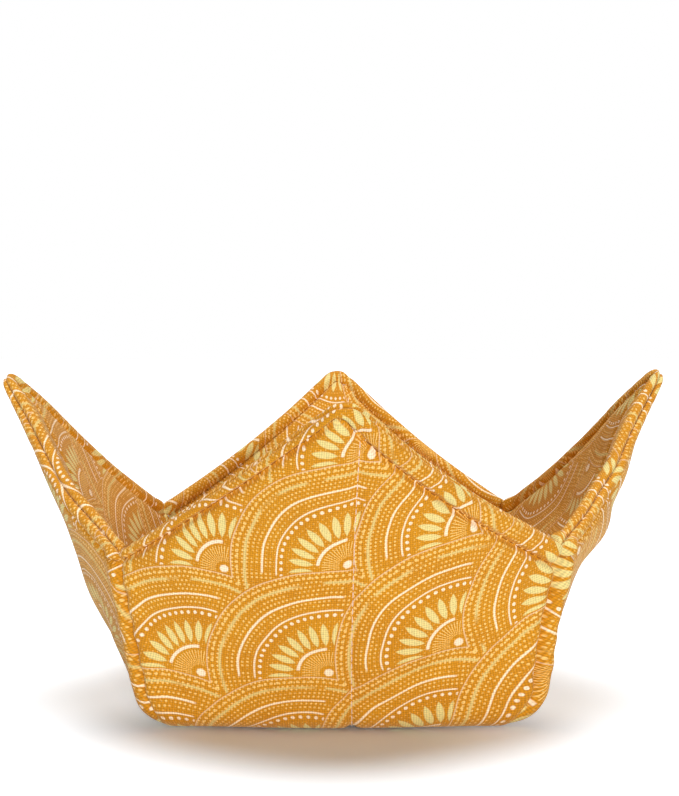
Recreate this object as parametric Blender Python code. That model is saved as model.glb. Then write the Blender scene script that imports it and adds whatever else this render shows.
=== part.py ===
"""A microwave bowl cozy: a quilted square of printed cotton, darted at the middle of each side
so that it stands up as a bowl, with its four corners as pointed grips.

It is four layers deep, each a closed solid of its own: printed outer cover, wadding, wadding,
printed lining. All four follow one middle surface. Origin at the middle of the base, on the
surface it stands on; the corners of the cloth point along X and Y; metres, +Z up.
"""

import math

import bmesh
import bpy
import numpy as np
from mathutils import Matrix, Vector

# The square of cloth and the seams that shape it
CUT_SIDE = 0.257
SEAM_ALLOWANCE = 0.00635
DART_DEPTH = 0.051
DART_HALF_WIDTH = 0.0226
CORNER_ROUNDING = 0.008
QUILTING_TAKE_UP = 0.018

# Thickness of each layer, and the air between two layers that touch
CLOTH_THICKNESS = 0.0006
WADDING_THICKNESS = 0.0016
LAYER_GAP = 0.0003

# Stitch lines: how far in they lie, how deep they pull the skin and how wide the dip is
TOPSTITCH_INSET = 0.005
TOPSTITCH_DIP = 0.00105
TOPSTITCH_DIP_HALF_WIDTH = 0.0014
QUILTING_DIP = 0.0009
QUILTING_DIP_HALF_WIDTH = 0.0018
DART_DIP = 0.0009
DART_DIP_HALF_WIDTH = 0.0036
DART_DIP_RUN_OUT = 0.012
RIM_BAND = 0.009

# Slope of the wall in degrees, at shares of its length up from the edge of the base:
# along the middle of a wall, from base to point, and along a dart seam, from base to mouth
WALL_SLOPE = ((0.01, 0), (0.11, 60), (0.3, 63), (0.45, 67), (0.6, 67), (1.0, 60))
SEAM_SLOPE = ((-0.05, 0), (0.18, 75), (1.0, 75), (2.4, 74))

# Facets: places across half a wall as shares of its half width, rows up the wall as shares of
# its length below the rim band, and the angles at which the rounded rim is divided
HALF_WALL_PLACES = (0.0, 0.035, 0.20, 0.42, 0.68, 0.93, 1.0)
BODY_ROWS = (0.0, 0.05, 0.08, 0.11, 0.15, 0.34, 0.56, 0.78)
RIM_ANGLES = (0, 40, 90)
WADDING_RIM_ANGLES = (20, 50, 90)
PROFILE_STEPS = 600
TANGENT_STEP = 0.0001
SOLVER_ROUNDS = 20

# Colours of the layers
GOLD_PRINT = (0.73, 0.27, 0.012, 1.0)
NATURAL_WADDING = (0.80, 0.76, 0.66, 1.0)
CLOTH_ROUGHNESS = 0.85
WADDING_ROUGHNESS = 0.95

# Sizes that follow from the cloth. In the flat, each wall is a kite with its corner of the
# cloth at the top; across it is measured from its middle line, out from the square's centre
ROOT_2 = math.sqrt(2.0)
HALF_THICKNESS = CLOTH_THICKNESS + WADDING_THICKNESS + 1.5 * LAYER_GAP
HALF_SIDE = CUT_SIDE / 2 - SEAM_ALLOWANCE
CORNER_OUT = HALF_SIDE * ROOT_2
BASE_HALF = (HALF_SIDE - DART_DEPTH) / ROOT_2
MOUTH_ACROSS = (HALF_SIDE - DART_HALF_WIDTH) / ROOT_2
MOUTH_OUT = (HALF_SIDE + DART_HALF_WIDTH) / ROOT_2
WALL_LENGTH = CORNER_OUT - BASE_HALF
SEAM_LENGTH = math.hypot(MOUTH_ACROSS - BASE_HALF, MOUTH_OUT - BASE_HALF)
WIDENING = (MOUTH_ACROSS - BASE_HALF) / (MOUTH_OUT - BASE_HALF)


def profile(slope, length, start):
    """A wall's side view as three arrays: length along it, distance out, height. Its slope
    changes evenly between the given places, so it is a chain of smooth arcs."""
    places = np.array([share * length for share, _ in slope])
    angles = np.array([degrees for _, degrees in slope])
    along = np.linspace(places[0], places[-1], PROFILE_STEPS)
    angle = np.radians(np.interp(along, places, angles))
    step = np.diff(along)
    middle = (angle[1:] + angle[:-1]) / 2
    out = start + places[0] + np.concatenate([[0.0], np.cumsum(np.cos(middle) * step)])
    up = np.concatenate([[0.0], np.cumsum(np.sin(middle) * step)])
    return along, out, up


WALL_PROFILE = profile(WALL_SLOPE, WALL_LENGTH * (1 - QUILTING_TAKE_UP), BASE_HALF)
SEAM_PROFILE = profile(SEAM_SLOPE, SEAM_LENGTH, BASE_HALF * ROOT_2)


def on_profile(curve, length):
    """Distance out and height at a length along a profile; flat floor before it starts."""
    along, out, up = curve
    before = min(0.0, length - along[0])
    return float(np.interp(length, along, out)) + before, float(np.interp(length, along, up))


def half_width(out):
    """Half the width of a wall, or of the base, at a distance out in the flat cloth."""
    if out <= BASE_HALF:
        return out
    return BASE_HALF + (out - BASE_HALF) * WIDENING


def middle_surface(share, out):
    """Point of the front wall's middle surface: share of its half width, distance out in the
    flat. Walls face -Y, and the section across is a curve that meets the seam's plane."""
    if out <= BASE_HALF:
        wall_length = out - BASE_HALF
        seam_length = (out - BASE_HALF) * ROOT_2
    else:
        wall_length = (out - BASE_HALF) * (1 - QUILTING_TAKE_UP)
        seam_length = (out - BASE_HALF) / (MOUTH_OUT - BASE_HALF) * SEAM_LENGTH
    wall_out, wall_up = on_profile(WALL_PROFILE, wall_length)
    seam_out, seam_up = on_profile(SEAM_PROFILE, seam_length)
    seam = seam_out / ROOT_2
    back = wall_out - seam
    chord = math.hypot(seam, back)
    turn = 2 * math.atan2(back, seam)
    # Cubic from the middle of the wall, running along X, to the seam, turned round the bowl
    blend = share * share * (3 - 2 * share)
    leave = share * (1 - share) ** 2
    arrive = share * share * (share - 1)
    x = blend * seam + chord * (leave + arrive * math.cos(turn))
    y = blend * back + chord * arrive * math.sin(turn) - wall_out
    z = wall_up + (seam_up - wall_up) * share * share + HALF_THICKNESS
    return Vector((x, y, z))


def outward(share, out):
    """Unit normal of the middle surface, pointing out of the bowl. On a seam it lies in the
    plane that the two walls share."""
    if out < TANGENT_STEP:
        return Vector((0.0, 0.0, -1.0))
    here = middle_surface(share, out)
    side = TANGENT_STEP if share < 0.5 else -TANGENT_STEP
    across = (middle_surface(share + side, out) - here) * side
    up = middle_surface(share, out + TANGENT_STEP) - here
    normal = across.cross(up)
    if share == 0:
        normal.x = 0.0
    if share == 1:
        shared = Vector((1.0, -1.0, 0.0)) / ROOT_2
        normal = shared * normal.dot(shared) + Vector((0.0, 0.0, normal.z))
    return normal.normalized()


def dip(distance, depth, reach):
    """How far a stitch line pulls the skin in, at a distance from it."""
    return depth * max(0.0, 1.0 - distance / reach)


def half_thickness(share, out, inset):
    """Half the depth of the quilt, less what the stitch lines pull in. Inset is the distance
    from the rim, along the cloth."""
    across = share * half_width(out)
    run_out = min(1.0, max(0.0, out - BASE_HALF) / DART_DIP_RUN_OUT)
    dips = (
        dip(min(across, out), QUILTING_DIP, QUILTING_DIP_HALF_WIDTH),
        dip(half_width(out) - across, DART_DIP * run_out, DART_DIP_HALF_WIDTH),
        dip(abs(inset - TOPSTITCH_INSET), TOPSTITCH_DIP, TOPSTITCH_DIP_HALF_WIDTH),
    )
    return HALF_THICKNESS - max(dips)


def out_at_inset(share, inset):
    """Distance out of the line that runs a given inset below the rim, at a place across the
    wall. Its corner is rounded like the rim's, less the inset."""
    radius = max(0.0, CORNER_ROUNDING - inset)
    corner = CORNER_OUT - inset * ROOT_2
    out = corner
    for _ in range(SOLVER_ROUNDS):
        across = share * half_width(out)
        if across < radius / ROOT_2:
            edge = corner - radius * ROOT_2 + math.sqrt(radius**2 - across**2)
        else:
            edge = corner - across
        out = (out + edge) / 2
    return out


def rim_section(radius, angles):
    """(inset, offset) round a quarter of the rolled rim, from its top to the wall's face."""
    turned = [math.radians(angle) for angle in angles]
    return [
        (HALF_THICKNESS - radius * math.cos(turn), max(radius * math.sin(turn), LAYER_GAP / 2))
        for turn in turned
    ]


def stitched_insets():
    """Insets of the rows that shape the topstitched channel, and the end of the rim band."""
    return [
        TOPSTITCH_INSET - TOPSTITCH_DIP_HALF_WIDTH,
        TOPSTITCH_INSET,
        TOPSTITCH_INSET + TOPSTITCH_DIP_HALF_WIDTH,
        RIM_BAND,
    ]


def place(share, out, offset, side):
    """Point at an offset from the middle surface: side is 1 outside the bowl and -1 inside."""
    return middle_surface(share, out) + outward(share, out) * offset * side


def wall_face(share, side, depth, rim, insets):
    """Points up one face of a layer's wall at one place across it, from base to rim. Depth is
    how far the face lies under the skin, or None for the face on the middle surface."""

    def offset(out, inset):
        if depth is None:
            return LAYER_GAP / 2
        return half_thickness(share, out, inset) - depth

    points = []
    band_out = out_at_inset(share, RIM_BAND)
    for row in BODY_ROWS:
        out = BASE_HALF + (band_out - BASE_HALF) * row
        points.append(place(share, out, offset(out, RIM_BAND), side))
    for inset in reversed(insets):
        out = out_at_inset(share, inset)
        points.append(place(share, out, offset(out, inset), side))
    for inset, rim_offset in reversed(rim):
        points.append(place(share, out_at_inset(share, inset), rim_offset, side))
    return points


def base_point(x_share, y_share, side, depth):
    """Point of one face of the base. Each quarter of it continues the wall beyond it."""
    across, out = sorted((abs(x_share), abs(y_share)))
    share = across / out if out else 0.0
    out *= BASE_HALF
    offset = LAYER_GAP / 2 if depth is None else half_thickness(share, out, RIM_BAND) - depth
    point = place(share, out, offset, side)
    if abs(x_share) > abs(y_share):
        point.x, point.y = -point.y, -point.x
    point.x = math.copysign(point.x, x_share)
    point.y = math.copysign(point.y, y_share)
    return point


def add_grid(mesh, columns):
    """Pairs of triangles over a grid of points. Their diagonals mirror each other about the
    middle column, and run alike on every face, so that facets of nested layers stay parallel."""
    grid = [[mesh.verts.new(point) for point in column] for column in columns]
    for number, (left, right) in enumerate(zip(grid, grid[1:])):
        mirrored = 2 * number < len(grid) - 1
        for a, b, c, d in zip(left, right, right[1:], left[1:]):
            if mirrored:
                mesh.faces.new((a, b, d))
                mesh.faces.new((b, c, d))
            else:
                mesh.faces.new((a, b, c))
                mesh.faces.new((a, c, d))


def whole_wall(half_columns):
    """Columns of a whole wall from those of its right half, mirrored at its middle line."""
    mirrored = [[Vector((-p.x, p.y, p.z)) for p in column] for column in half_columns[:0:-1]]
    return mirrored + half_columns


def layer(name, side, faces, material):
    """One layer as a closed solid: two faces, each with four walls and a base, welded where
    they meet, and a strip that joins the faces along the rim."""
    mesh = bmesh.new()
    shares = [-share for share in HALF_WALL_PLACES[:0:-1]] + list(HALF_WALL_PLACES)
    walls = []
    for face in faces:
        walls.append(whole_wall([wall_face(share, side, *face) for share in HALF_WALL_PLACES]))
        add_grid(mesh, [[base_point(x, y, side, face[0]) for y in shares] for x in shares])
    walls.append([[first[-1], second[-1]] for first, second in zip(*walls)])
    for quarter in range(4):
        turned = Matrix.Rotation(math.radians(90 * quarter), 3, "Z")
        for wall in walls:
            add_grid(mesh, [[turned @ point for point in column] for column in wall])
    bmesh.ops.remove_doubles(mesh, verts=mesh.verts, dist=LAYER_GAP / 10)
    bmesh.ops.recalc_face_normals(mesh, faces=mesh.faces)
    data = bpy.data.meshes.new(name)
    mesh.to_mesh(data)
    mesh.free()
    data.materials.append(material)
    data.shade_smooth()
    node = bpy.data.objects.new(name, data)
    bpy.context.scene.collection.objects.link(node)
    return node


def cloth_layer(name, side, material):
    """A cover or a lining: a skin that rolls over the rim to meet the other skin's edge."""
    outer_rim = rim_section(HALF_THICKNESS, RIM_ANGLES)
    inner_rim = rim_section(HALF_THICKNESS - CLOTH_THICKNESS, RIM_ANGLES)
    faces = (
        (0.0, outer_rim, stitched_insets()),
        (CLOTH_THICKNESS, inner_rim, stitched_insets()),
    )
    return layer(name, side, faces, material)


def wadding_layer(name, side, material):
    """A layer of wadding: it fills the roll of the rim under its skin."""
    depth = CLOTH_THICKNESS + LAYER_GAP
    skin_rim = rim_section(HALF_THICKNESS - depth, WADDING_RIM_ANGLES)
    top_inset = skin_rim[0][0]
    faces = (
        (depth, skin_rim, stitched_insets()),
        (None, [(top_inset, LAYER_GAP / 2)], [RIM_BAND]),
    )
    return layer(name, side, faces, material)


def fabric(name, colour, roughness):
    """Plain woven or felted material in one colour."""
    material = bpy.data.materials.new(name)
    material.use_nodes = True
    shader = material.node_tree.nodes["Principled BSDF"]
    shader.inputs["Base Color"].default_value = colour
    shader.inputs["Roughness"].default_value = roughness
    shader.inputs["Metallic"].default_value = 0.0
    material.diffuse_color = colour
    return material


for old in list(bpy.data.objects):
    bpy.data.objects.remove(old)

print_cotton = fabric("gold_printed_cotton", GOLD_PRINT, CLOTH_ROUGHNESS)
lining_cotton = fabric("gold_printed_lining", GOLD_PRINT, CLOTH_ROUGHNESS)
outer_wadding = fabric("outer_cotton_wadding", NATURAL_WADDING, WADDING_ROUGHNESS)
inner_wadding = fabric("inner_cotton_wadding", NATURAL_WADDING, WADDING_ROUGHNESS)

cloth_layer("outer_cover", 1, print_cotton)
wadding_layer("outer_batting", 1, outer_wadding)
wadding_layer("lining_batting", -1, inner_wadding)
cloth_layer("lining", -1, lining_cotton)
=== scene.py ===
import math

import bpy
import numpy as np
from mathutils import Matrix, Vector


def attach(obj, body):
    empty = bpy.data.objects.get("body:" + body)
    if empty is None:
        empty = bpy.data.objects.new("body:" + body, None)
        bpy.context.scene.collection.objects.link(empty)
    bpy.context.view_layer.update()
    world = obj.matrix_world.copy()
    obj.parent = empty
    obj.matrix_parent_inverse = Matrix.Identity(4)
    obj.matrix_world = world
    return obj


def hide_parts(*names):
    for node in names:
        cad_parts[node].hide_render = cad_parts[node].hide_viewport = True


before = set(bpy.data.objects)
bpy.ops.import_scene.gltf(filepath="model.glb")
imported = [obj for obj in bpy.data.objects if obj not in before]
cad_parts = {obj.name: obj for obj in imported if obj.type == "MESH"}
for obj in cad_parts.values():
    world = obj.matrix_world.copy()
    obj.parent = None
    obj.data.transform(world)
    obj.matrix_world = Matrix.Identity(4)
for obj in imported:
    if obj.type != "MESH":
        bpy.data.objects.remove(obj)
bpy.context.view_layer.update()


# Wadding of the cover and of the lining
# Two squares of thin cotton wadding, one quilted to the back of each printed square and darted
# with it. They give the walls their body; only their loft shows, through the skins.

# The square of cloth, cut and sewn as the solids are: its seams, darts and layers, in metres
CUT_SIDE = 0.257
SEAM_ALLOWANCE = 0.00635
DART_DEPTH = 0.051
DART_HALF_WIDTH = 0.0226
CORNER_ROUNDING = 0.008
QUILTING_TAKE_UP = 0.018
CLOTH_THICKNESS = 0.0006
WADDING_THICKNESS = 0.0016
LAYER_GAP = 0.0003
RIM_BAND = 0.009

# Slope of the wall in degrees at shares of its length up from the base, along the middle of a
# wall and along a dart seam
WALL_SLOPE = ((0.01, 0), (0.11, 60), (0.3, 63), (0.45, 67), (0.6, 67), (1.0, 60))
SEAM_SLOPE = ((-0.05, 0), (0.18, 75), (1.0, 75), (2.4, 74))
PROFILE_STEPS = 600

ROOT_2 = math.sqrt(2)
HALF_THICKNESS = CLOTH_THICKNESS + WADDING_THICKNESS + 1.5 * LAYER_GAP
HALF_SIDE = CUT_SIDE / 2 - SEAM_ALLOWANCE
CORNER_OUT = HALF_SIDE * ROOT_2
BASE_HALF = (HALF_SIDE - DART_DEPTH) / ROOT_2
MOUTH_ACROSS = (HALF_SIDE - DART_HALF_WIDTH) / ROOT_2
MOUTH_OUT = (HALF_SIDE + DART_HALF_WIDTH) / ROOT_2
WALL_LENGTH = CORNER_OUT - BASE_HALF
SEAM_LENGTH = math.hypot(MOUTH_ACROSS - BASE_HALF, MOUTH_OUT - BASE_HALF)
WIDENING = (MOUTH_ACROSS - BASE_HALF) / (MOUTH_OUT - BASE_HALF)
MOUTH_SHARE = (MOUTH_OUT - BASE_HALF) / WALL_LENGTH

# How this one was pulled out of true in sewing and use. Walls are numbered front, right, back,
# left, and dart seams front right, back right, back left, front left
# The four points of the cloth, one for each wall: across, outward and up
POINT_SHIFT = (
    (0.0036, 0.0, -0.0036),
    (0.0, 0.0004, 0.0034),
    (-0.0010, 0.0, 0.0),
    (0.0, 0.0014, 0.0018),
)
# The mouth of each dart, in X, Y and Z
MOUTH_SHIFT = (
    (0.0030, -0.0006, 0.0022),
    (0.0006, 0.0008, 0.0006),
    (-0.0004, 0.0006, 0.0),
    (0.0012, -0.0006, 0.0),
)
# The lowest part of each dart seam, just above the base, in X, Y and Z
HEEL_SHIFT = (
    (0.0029, -0.0024, 0.0),
    (0.0012, 0.0004, 0.0),
    (-0.0006, 0.0010, 0.0),
    (0.0001, -0.0024, 0.0),
)
HEEL_OUT = 0.060
HEEL_REACH = 0.016
# The corners of the base, which are blunt, in X, Y and Z
CORNER_TUCK = (
    (-0.0022, -0.0008, 0.0),
    (-0.0008, -0.0008, 0.0),
    (0.0008, -0.0008, 0.0),
    (0.0018, -0.0012, 0.0),
)
CORNER_REACH = 0.0090
RIM_SWAY = 0.0006
# How far the middle of the left and right slope of each wall's rim stands above a straight line
RIM_SWELL = ((0.0013, 0.0019), (0.0, 0.0004), (0.0004, 0.0), (0.0003, 0.0))

# The walls stand out a little at their foot and sag inward above it, between these heights
FOOT_HEIGHT = 0.02
FOOT_SPREAD = 0.07
FOOT_START = 0.016
FOOT_PUSH = 0.0015
WALL_SAG = 0.0023
SAG_STARTS = (0.06, 0.32)
SAG_ENDS = (0.82, 1.02)
# Each wall has its own dents and swells: wall, share across, height from 0 to 1, spread across,
# spread up, and push outward
DENTS = (
    (1, 0.10, 0.40, 0.55, 0.085, -0.0032),
    (1, -0.25, 0.53, 0.40, 0.06, 0.0030),
    (1, -0.25, 0.67, 0.40, 0.07, 0.0016),
    (0, 0.30, 0.30, 0.35, 0.10, 0.0012),
    (0, -0.35, 0.62, 0.30, 0.10, -0.0010),
    (2, 0.20, 0.40, 0.40, 0.12, 0.0016),
    (3, 0.20, 0.34, 0.50, 0.13, 0.0022),
    (3, 0.62, 0.66, 0.24, 0.14, 0.0020),
)

# Lines of quilting, in the flat: one along X and one along Y, both a little off the middle
QUILT_LINE_X = 0.0052
QUILT_LINE_Y = -0.0015
QUILT_VALLEY = 0.0010
QUILT_VALLEY_WIDTH = 0.0015
# The dart seams: a sharp valley in each skin, a soft one in the quilt, and the crease that takes
# the whole quilt in, its depth for each seam. All run out towards the base
DART_VALLEY = 0.0009
DART_VALLEY_WIDTH = 0.0011
DART_SOFT_VALLEY = 0.0009
DART_SOFT_WIDTH = 0.0040
DART_CREASE = (0.0031, 0.0018, 0.0018, 0.0026)
DART_CREASE_WIDTH = 0.0012
DART_RUN_OUT_START = -0.001
DART_RUN_OUT = 0.012
CREASE_ENDS_AT_RIM = (0.001, 0.006)
# How full the wadding stands between the stitch lines
LOFT = 0.0009
LOFT_SPREAD = 0.010
LOFT_RISE = 0.03


def slope_profile(slope, length, start):
    """Side view of a wall as three arrays: length along it, distance out and height."""
    places = np.array([share * length for share, _ in slope])
    angles = np.array([degrees for _, degrees in slope])
    along = np.linspace(places[0], places[-1], PROFILE_STEPS)
    angle = np.radians(np.interp(along, places, angles))
    step = np.diff(along)
    middle = (angle[1:] + angle[:-1]) / 2
    out = start + places[0] + np.concatenate([[0.0], np.cumsum(np.cos(middle) * step)])
    up = np.concatenate([[0.0], np.cumsum(np.sin(middle) * step)])
    return along, out, up


wall_profile = slope_profile(WALL_SLOPE, WALL_LENGTH * (1 - QUILTING_TAKE_UP), BASE_HALF)
seam_profile = slope_profile(SEAM_SLOPE, SEAM_LENGTH, BASE_HALF * ROOT_2)


def along_profile(profile, length):
    """Distance out and height at lengths along a profile, with flat floor before it starts."""
    along, out, up = profile
    before = np.minimum(0.0, length - along[0])
    return np.interp(length, along, out) + before, np.interp(length, along, up)


def half_width(out):
    """Half the width of a wall, or of the base, at distances out in the flat cloth."""
    return np.where(out <= BASE_HALF, out, BASE_HALF + (out - BASE_HALF) * WIDENING)


def smooth_step(value, low, high):
    """0 below low, 1 above high, and an even S between."""
    t = np.clip((value - low) / (high - low), 0.0, 1.0)
    return t * t * (3 - 2 * t)


def to_dart_seam(share, out):
    """Distance across a wall to the nearer of its dart seams."""
    return half_width(out) * (1 - np.abs(share))


def seam_number(wall, share):
    """The dart seam on whose side of the wall a place lies."""
    return np.where(share > 0, wall, (wall - 1) % 4)


def dart_run_out(out):
    """0 on the base and 1 up the wall, where a dart seam is sewn."""
    return smooth_step(out, BASE_HALF + DART_RUN_OUT_START, BASE_HALF + DART_RUN_OUT)


def turned(points, quarters):
    """Points turned round Z by whole quarter turns."""
    x, y, z = points[..., 0], points[..., 1], points[..., 2]
    cosine = np.array([1, 0, -1, 0])[quarters]
    sine = np.array([0, 1, 0, -1])[quarters]
    return np.stack([x * cosine - y * sine, x * sine + y * cosine, z], axis=-1)


def middle_of_quilt(wall, share, out):
    """Points midway through the quilt: wall 0 to 3, share of its half width from -1 to 1, and
    distance out in the flat cloth."""
    side = np.abs(share)
    climbing = out > BASE_HALF
    wall_length = (out - BASE_HALF) * np.where(climbing, 1 - QUILTING_TAKE_UP, 1.0)
    seam_rate = SEAM_LENGTH / (MOUTH_OUT - BASE_HALF)
    seam_length = (out - BASE_HALF) * np.where(climbing, seam_rate, ROOT_2)
    wall_out, wall_up = along_profile(wall_profile, wall_length)
    seam_out, seam_up = along_profile(seam_profile, seam_length)
    seam = seam_out / ROOT_2
    back = wall_out - seam
    chord = np.hypot(seam, back)
    turn = 2 * np.arctan2(back, seam)
    blend = side * side * (3 - 2 * side)
    leave = side * (1 - side) ** 2
    arrive = side * side * (side - 1)
    x = blend * seam + chord * (leave + arrive * np.cos(turn))
    y = blend * back + chord * arrive * np.sin(turn) - wall_out
    z = wall_up + (seam_up - wall_up) * side * side + HALF_THICKNESS
    points = np.stack([x * np.sign(share), y, z], axis=-1)

    # The pulls that make no two walls alike fade out towards the base and the dart seams
    height = np.clip((out - BASE_HALF) / WALL_LENGTH, 0.0, 1.0)
    free = (1 - side * side) ** 2
    shift = np.array(POINT_SHIFT)[wall] * (height**2 * free)[..., None]
    push = RIM_SWAY * height * (1 - side * side) * np.sin(5.2 * share + 1.9 * wall + 0.6)
    foot = np.exp(-(((height - FOOT_HEIGHT) / FOOT_SPREAD) ** 2))
    foot = foot * smooth_step(out, BASE_HALF - FOOT_START, BASE_HALF)
    push = push + FOOT_PUSH * foot * (1 - side**6)
    sagging = smooth_step(height, *SAG_STARTS) * (1 - smooth_step(height, *SAG_ENDS))
    push = push - WALL_SAG * sagging * (1 - side**4)
    for dented, place, level, spread, spread_up, depth in DENTS:
        near = np.exp(-(((share - place) / spread) ** 2) - ((height - level) / spread_up) ** 2)
        push = push + np.where(wall == dented, depth * near * (1 - side**4), 0.0)
    swells = np.array(RIM_SWELL)[wall]
    swell = np.where(share > 0, swells[..., 1], swells[..., 0])
    points = points + shift * (1, -1, 1)
    points[..., 2] += swell * height**2 * np.sin(math.pi * np.minimum(side, 1.0))
    points[..., 1] -= push
    points = turned(points, wall)
    mouth = np.minimum(1.2, height / MOUTH_SHARE) ** 1.5 * side * side
    heel = np.exp(-(((out - HEEL_OUT) / HEEL_REACH) ** 2)) * side * side
    corner = np.exp(-(((out - BASE_HALF) / CORNER_REACH) ** 2)) * side**4
    for shifts, weight in ((MOUTH_SHIFT, mouth), (HEEL_SHIFT, heel), (CORNER_TUCK, corner)):
        points = points + np.array(shifts)[seam_number(wall, share)] * weight[..., None]
    return points


def unit(vectors):
    return vectors / np.maximum(np.linalg.norm(vectors, axis=-1, keepdims=True), 1e-12)


def slope_normal(wall, share, out):
    """Normals of the middle surface, out of the bowl, from small steps across and up it."""
    step = np.where(share > 0, -0.002, 0.002)
    here = middle_of_quilt(wall, share, out)
    across = (middle_of_quilt(wall, share + step, out) - here) * np.sign(step)[..., None]
    up = middle_of_quilt(wall, share, out + 0.0001) - here
    normal = unit(np.cross(across, up))
    floor = (out < BASE_HALF * 0.8)[..., None]
    return np.where(floor, np.array([0.0, 0.0, -1.0]), normal)


SEAM_BLEND = 0.007


def outward_normal(wall, share, out):
    """Normals of the quilt. Towards a dart seam they turn to the one that both walls share."""
    own = slope_normal(wall, share, out)
    side = np.where(share > 0, 1, -1)
    on_seam = slope_normal(wall, side * 1.0, out)
    beyond = slope_normal((wall + side) % 4, side * -1.0, out)
    shared = unit(on_seam + beyond)
    weight = (1 - smooth_step(to_dart_seam(share, out), 0.0, SEAM_BLEND))[..., None]
    return unit(own * (1 - weight) + shared * weight)


def flat_place(wall, share, out):
    """Place in the flat square of cloth, with its corners along X and Y."""
    zero = np.zeros_like(out)
    return turned(np.stack([share * half_width(out), -out, zero], axis=-1), wall)[..., :2]


def to_quilting_line(flat):
    """Distance to the nearer line of quilting, from places in the flat."""
    return np.minimum(np.abs(flat[..., 0] - QUILT_LINE_X), np.abs(flat[..., 1] - QUILT_LINE_Y))


def valley(distance, depth, width):
    """How far a line of stitches pulls the skin in, at distances from it."""
    return depth * np.exp(-((distance / width) ** 2))


def quilted_loft(wall, share, out):
    """Half the thickness of the quilt: full in the middle of a field, pulled in at the quilting
    and at the dart seams."""
    to_quilting = to_quilting_line(flat_place(wall, share, out))
    to_seam = to_dart_seam(share, out)
    climb = smooth_step(out, BASE_HALF, BASE_HALF + LOFT_RISE)
    nearest = np.minimum(to_quilting, to_seam)
    puff = LOFT * climb * (1 - np.exp(-((nearest / LOFT_SPREAD) ** 2)))
    pull = np.maximum(
        valley(to_quilting, QUILT_VALLEY, QUILT_VALLEY_WIDTH),
        valley(to_seam, DART_SOFT_VALLEY, DART_SOFT_WIDTH) * dart_run_out(out),
    )
    return HALF_THICKNESS + puff - pull


def rolled(loft, inset, edge):
    """The loft, brought down in a quarter round to the edge of the rim."""
    to_round = np.clip((inset - edge) / (HALF_THICKNESS - edge), 0.0, 1.0)
    return loft * np.sqrt(np.maximum(0.0, 1 - (1 - to_round) ** 2))


# The topstitch has rolled the rim's seam outward, in degrees on the left and right slope of each
# wall, and the seam is pinched in between its two rolls. The roll fades between two insets
RIM_ROLL = ((6, 4), (22, 8), (6, 6), (8, 20))
ROLL_FADES = (0.0016, 0.0062)
ROLL_END = 0.0064
RIM_PINCH = 0.38
RIM_PINCH_WIDTH = 0.0008


def rim_section(wall, share, inset, height, side):
    """Inset and height in the rolled and pinched section of the rim, height measured outward."""
    toward = HALF_THICKNESS - inset
    angle = np.arctan2(height, toward)
    reach = np.hypot(toward, height)
    reach = reach * (1 - RIM_PINCH * np.exp(-((angle * HALF_THICKNESS / RIM_PINCH_WIDTH) ** 2)))
    rolls = np.radians(np.array(RIM_ROLL))[wall]
    roll = rolls[..., 0] + (rolls[..., 1] - rolls[..., 0]) * smooth_step(share, -0.1, 0.1)
    ends = 1 - smooth_step(np.abs(share), 0.75, 1.0)
    turn = side * angle + roll * ends * (1 - smooth_step(inset, *ROLL_FADES))
    near = inset < ROLL_END
    new_inset = np.where(near, HALF_THICKNESS - reach * np.cos(turn), inset)
    return new_inset, np.where(near, reach * np.sin(turn), side * height)


def out_at_inset(share, inset):
    """Distance out of the line that runs an inset below the rim, its corner rounded."""
    radius = np.maximum(0.0, CORNER_ROUNDING - inset)
    corner = CORNER_OUT - inset * ROOT_2
    out = corner + 0 * share
    for _ in range(24):
        across = np.abs(share) * half_width(out)
        round_part = corner - radius * ROOT_2 + np.sqrt(np.maximum(0.0, radius**2 - across**2))
        edge = np.where(across < radius / ROOT_2, round_part, corner - across)
        out = (out + edge) / 2
    return out


def laid(wall, share, out, inset, height, side):
    """Points of a face at a height over the middle of the quilt, carried round the rim's roll."""
    normal = outward_normal(wall, share, out)
    new_inset, lift = rim_section(wall, share, inset, height, side)
    step = 0.0002
    rate = (out_at_inset(share, inset - step) - out_at_inset(share, inset + step)) / (2 * step)
    moved = out + (inset - new_inset) * rate
    depth = np.array(DART_CREASE)[seam_number(wall, share)]
    crease = valley(to_dart_seam(share, out), depth, DART_CREASE_WIDTH)
    crease = crease * dart_run_out(out) * smooth_step(inset, *CREASE_ENDS_AT_RIM)
    return middle_of_quilt(wall, share, moved) + (lift - crease)[..., None] * normal


def spread_places(widths):
    """Places across a wall from -1 to 1, from the relative widths of the strips of one half."""
    half = np.concatenate([[0.0], np.cumsum(widths)]) / sum(widths)
    return np.concatenate([-half[:0:-1], half])


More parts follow.
